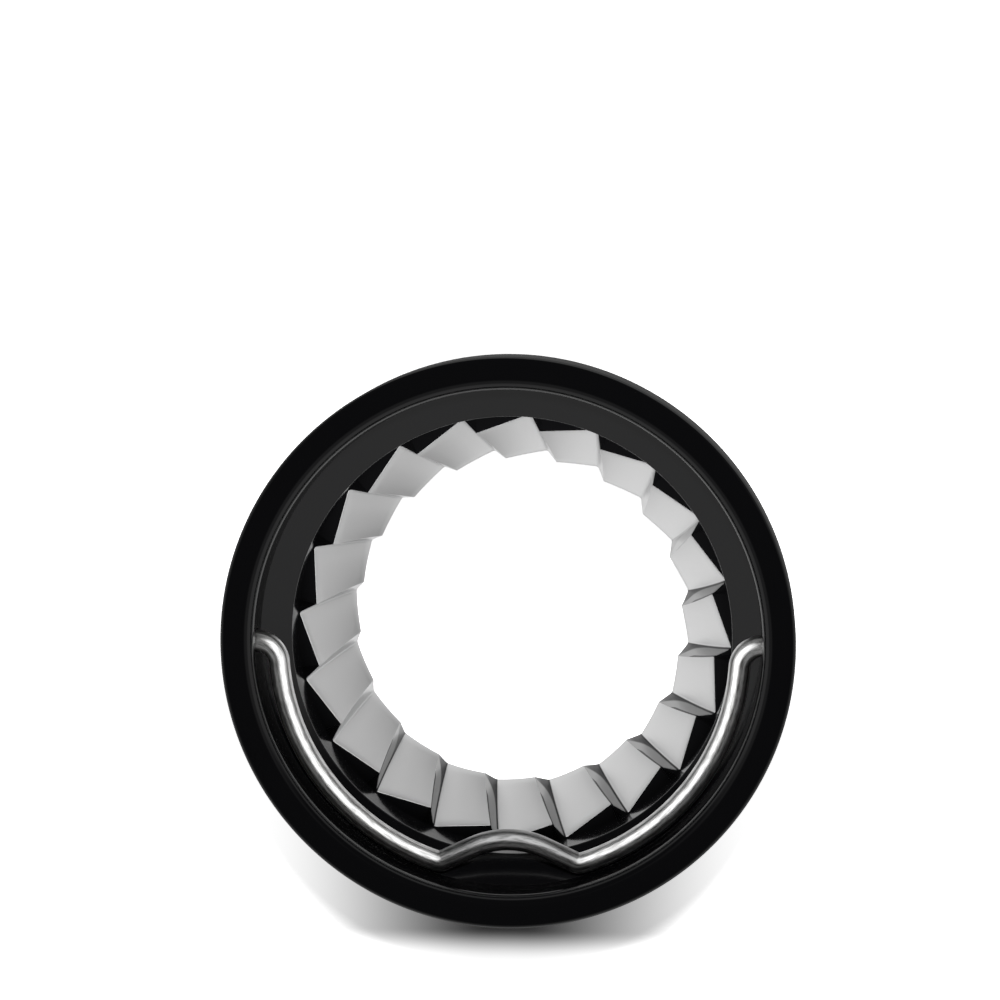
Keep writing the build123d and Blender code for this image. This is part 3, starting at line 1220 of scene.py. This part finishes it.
paper, tree, output = material_tree("matt_white_paper")
rays = add_node(tree, "ShaderNodeLightPath")
place = add_node(tree, "ShaderNodeTexCoord")
from_axis = add_node(tree, "ShaderNodeVectorMath", {"operation": "LENGTH"}, {0: place.outputs["Object"]})
from_dim = add_node(
    tree, "ShaderNodeVectorMath", {"operation": "DISTANCE"}, {0: place.outputs["Object"], 1: DIM_CENTER}
)
axes = add_node(tree, "ShaderNodeSeparateXYZ", inputs={"Vector": place.outputs["Object"]})
from_middle = add_node(
    tree, "ShaderNodeMath", {"operation": "SUBTRACT"}, {0: axes.outputs["X"], 1: SHADOW_MIDDLE}
)
sideways, forward = (
    add_node(tree, "ShaderNodeMath", {"operation": "ABSOLUTE"}, {0: distance})
    for distance in (from_middle.outputs["Value"], axes.outputs["Y"])
)
levels = {}
for name, distance, near, far, near_level, far_level in (
    ("in the opening", from_axis, *OPENING_EDGES, 1.0, 0.0),
    ("side glow", sideways, *SHADOW_SIDES, 0.0, 1.0),
    ("front glow", forward, *SHADOW_FRONT, 0.0, 1.0),
    ("ring glow", from_dim, 0.0, RING_DISTANCE, DIM_GLOW, RING_GLOW),
    ("far glow", from_axis, *FAR_EDGES, SIDE_GLOW, FAR_GLOW),
):
    level = add_node(
        tree,
        "ShaderNodeMapRange",
        {"interpolation_type": "SMOOTHSTEP"},
        {
            "Value": distance.outputs["Value"],
            "From Min": near,
            "From Max": far,
            "To Min": near_level,
            "To Max": far_level,
        },
    )
    levels[name] = level.outputs["Result"]
print("brightness levels:", sorted(levels))

# %% Paper of the table
PAPER_WHITE = "#fafafa"
OPENING_GLOW = 0.9

outside_glow = add_node(
    tree, "ShaderNodeMath", {"operation": "ADD"}, {0: levels["side glow"], 1: levels["front glow"]}
)
camera_level, mirror_level = (
    add_node(
        tree,
        "ShaderNodeMix",
        {"data_type": "FLOAT"},
        {"Factor": levels["in the opening"], "A": outside, "B": inside},
    ).outputs["Result"]
    for outside, inside in (
        (outside_glow.outputs["Value"], OPENING_GLOW),
        (levels["far glow"], levels["ring glow"]),
    )
)
seen_glow = add_node(
    tree,
    "ShaderNodeMath",
    {"operation": "MULTIPLY"},
    {0: rays.outputs["Is Camera Ray"], 1: camera_level},
)
diffuse = add_node(tree, "ShaderNodeBsdfDiffuse", inputs={"Color": linear(PAPER_WHITE)})
glow = add_node(tree, "ShaderNodeEmission", inputs={"Strength": seen_glow.outputs["Value"]})
glowing_paper = add_node(
    tree, "ShaderNodeAddShader", inputs={0: diffuse.outputs["BSDF"], 1: glow.outputs["Emission"]}
)
mirrored = add_node(tree, "ShaderNodeEmission", inputs={"Strength": mirror_level})
table = add_node(
    tree,
    "ShaderNodeMixShader",
    inputs={
        0: rays.outputs["Is Glossy Ray"],
        1: glowing_paper.outputs["Shader"],
        2: mirrored.outputs["Emission"],
    },
)
side = add_node(tree, "ShaderNodeNewGeometry")
clear = add_node(tree, "ShaderNodeBsdfTransparent")
one_sided = add_node(
    tree,
    "ShaderNodeMixShader",
    inputs={0: side.outputs["Backfacing"], 1: table.outputs["Shader"], 2: clear.outputs["BSDF"]},
)
tree.links.new(one_sided.outputs["Shader"], output.inputs["Surface"])
floor_mesh.materials.append(paper)
print("floor finish:", paper.name)

# %% [markdown]
# ## Light
# Shiny black and bright metal look like what they mirror, so the surroundings matter more than lamps. A
# low band of soft light stands around the part and shows as grey on the sloping ledge. Higher up it is
# dim and overhead dark, which keeps the flat rim black. On the far side the band is lower, which
# leaves the near half of the ledge black. Each ramp gives the light by height: zero at the horizon and
# one overhead. The camera sees plain white in its place, and matt surfaces get only a share of it, so that
# the shadow on the table stays dark.

# %% Light of the surroundings by height and side
OPEN_SIDE = ((0.0, 0.55), (0.52, 0.55), (0.6, 0.2), (0.85, 0.2), (0.93, 0.015))
FAR_SIDE = ((0.0, 0.45), (0.28, 0.45), (0.36, 0.02), (1.0, 0.015))
FAR_FROM = 0.15
FAR_TO = 0.45

world = bpy.data.worlds.new("studio")
bpy.context.scene.world = world
world.use_nodes = True
tree = world.node_tree
tree.nodes.clear()
output = tree.nodes.new("ShaderNodeOutputWorld")
place = add_node(tree, "ShaderNodeTexCoord")
axes = add_node(tree, "ShaderNodeSeparateXYZ", inputs={"Vector": place.outputs["Generated"]})
ramps = []
for stops in (OPEN_SIDE, FAR_SIDE):
    ramp = add_node(
        tree,
        "ShaderNodeValToRGB",
        inputs={"Fac": axes.outputs["Z"]},
        stops=[(height, (light, light, light, 1.0)) for height, light in stops],
    )
    ramps.append(ramp)
far = add_node(
    tree,
    "ShaderNodeMapRange",
    inputs={"Value": axes.outputs["Y"], "From Min": FAR_FROM, "From Max": FAR_TO},
)
sky_colour = add_node(
    tree,
    "ShaderNodeMix",
    {"data_type": "RGBA"},
    {"Factor": far.outputs["Result"], 6: ramps[0].outputs["Color"], 7: ramps[1].outputs["Color"]},
)
print("light by height on the open side:", OPEN_SIDE)

# %% What camera, mirrors and matt surfaces get of it
DIFFUSE_SHARE = 0.18
rays = add_node(tree, "ShaderNodeLightPath")
seen_colour = add_node(
    tree,
    "ShaderNodeMix",
    {"data_type": "RGBA"},
    {"Factor": rays.outputs["Is Camera Ray"], 6: sky_colour.outputs[2], 7: linear(PLAIN_WHITE)},
)
seen = add_node(
    tree,
    "ShaderNodeMath",
    {"operation": "MAXIMUM"},
    {0: rays.outputs["Is Camera Ray"], 1: rays.outputs["Is Glossy Ray"]},
)
strength = add_node(
    tree,
    "ShaderNodeMapRange",
    inputs={"Value": seen.outputs["Value"], "To Min": DIFFUSE_SHARE, "To Max": 1.0},
)
sky = add_node(
    tree,
    "ShaderNodeBackground",
    inputs={"Color": seen_colour.outputs[2], "Strength": strength.outputs["Result"]},
)
tree.links.new(sky.outputs["Background"], output.inputs["Surface"])
print("share of the surroundings' light on matt surfaces:", DIFFUSE_SHARE)

# %% [markdown]
# Two round lamps do the rest. The key lamp is small, high and a little behind, so it throws a short
# soft shadow to the front. The softbox is a wide plate close above the ring, and the wire mirrors it all
# the way around on its inner side, as one broad streak. In a studio black cards would keep it off the
# glossy plastic, which has to stay black. Here light linking does that: the softbox has a list of the
# pieces that it lights, and only the two steel pieces are on it.

# %% A round lamp
def round_lamp(name, location, facing, diameter, power):
    """A round lamp that shines against a direction and that the camera doesn't see."""
    data = bpy.data.lights.new(name, "AREA")
    data.shape = "DISK"
    data.size = diameter
    data.energy = power
    lamp = bpy.data.objects.new(name, data)
    lamp.location = location
    lamp.rotation_euler = facing.to_track_quat("Z", "Y").to_euler()
    lamp.visible_camera = False
    bpy.context.scene.collection.objects.link(lamp)
    print(name, "at", location, "gives", power, "W")
    return lamp


print("lamps so far:", len(bpy.data.lights))

# %% Key lamp
KEY_DIRECTION = (2.7, 10.15, 34.0)
KEY_DISTANCE = 0.35
KEY_SIZE = 0.036
KEY_POWER = 1.33
toward_key = Vector(KEY_DIRECTION).normalized()
key = round_lamp("key", toward_key * KEY_DISTANCE, toward_key, KEY_SIZE, KEY_POWER)
key.visible_glossy = False

# %% Softbox for the steel
SOFTBOX_HEIGHT = 54.0 * MM
SOFTBOX_BACK = 2.0 * MM
SOFTBOX_SIZE = 50.0 * MM
SOFTBOX_POWER = 0.0118
place = Vector((0, SOFTBOX_BACK, SOFTBOX_HEIGHT))
softbox = round_lamp("softbox", place, Vector((0, 0, 1)), SOFTBOX_SIZE, SOFTBOX_POWER)
lit_pieces = bpy.data.collections.new("lit_by_softbox")
for piece in (burr, handle):
    lit_pieces.objects.link(piece)
softbox.light_linking.receiver_collection = lit_pieces

# %% [markdown]
# ## Camera
# The photograph was taken from nearly straight above, at a little under 0.4 m. The tilt was worked out
# from how the ring's circles shift against each other with depth. The lens follows from how many pixels
# a millimetre of the rim takes up, and the lens shift puts the rim's centre on its own pixel, because
# the ring doesn't lie in the middle of the picture.

# %% Camera
RIM_CENTER = Vector((0, 0, RIM_TOP))
CAMERA_DISTANCE = 375 * MM
CAMERA_TILT = radians(9.37)
CAMERA_TURN = radians(27.4)
PIXELS_PER_MM = 8.76
IMAGE_SIZE = 1000
RIM_PIXEL = (506.0, 646.6)
CLIP_START = 10 * MM

toward_camera = Vector(
    (
        sin(CAMERA_TILT) * sin(CAMERA_TURN),
        sin(CAMERA_TILT) * cos(CAMERA_TURN),
        cos(CAMERA_TILT),
    )
)
right = Vector((0, 1, 0)).cross(toward_camera).normalized()
up = toward_camera.cross(right)
camera_data = bpy.data.cameras.new("camera")
camera_data.lens = camera_data.sensor_width * PIXELS_PER_MM * CAMERA_DISTANCE / MM / IMAGE_SIZE
camera_data.shift_x = 0.5 - RIM_PIXEL[0] / IMAGE_SIZE
camera_data.shift_y = RIM_PIXEL[1] / IMAGE_SIZE - 0.5
camera_data.clip_start = CLIP_START
camera = bpy.data.objects.new("camera", camera_data)
axes = Matrix((right, up, toward_camera)).transposed().to_4x4()
camera.matrix_world = Matrix.Translation(RIM_CENTER + toward_camera * CAMERA_DISTANCE) @ axes
bpy.context.scene.collection.objects.link(camera)
bpy.context.scene.camera = camera
bpy.context.scene.view_settings.view_transform = "Standard"
print("lens", camera_data.lens, "shift", camera_data.shift_x, camera_data.shift_y)
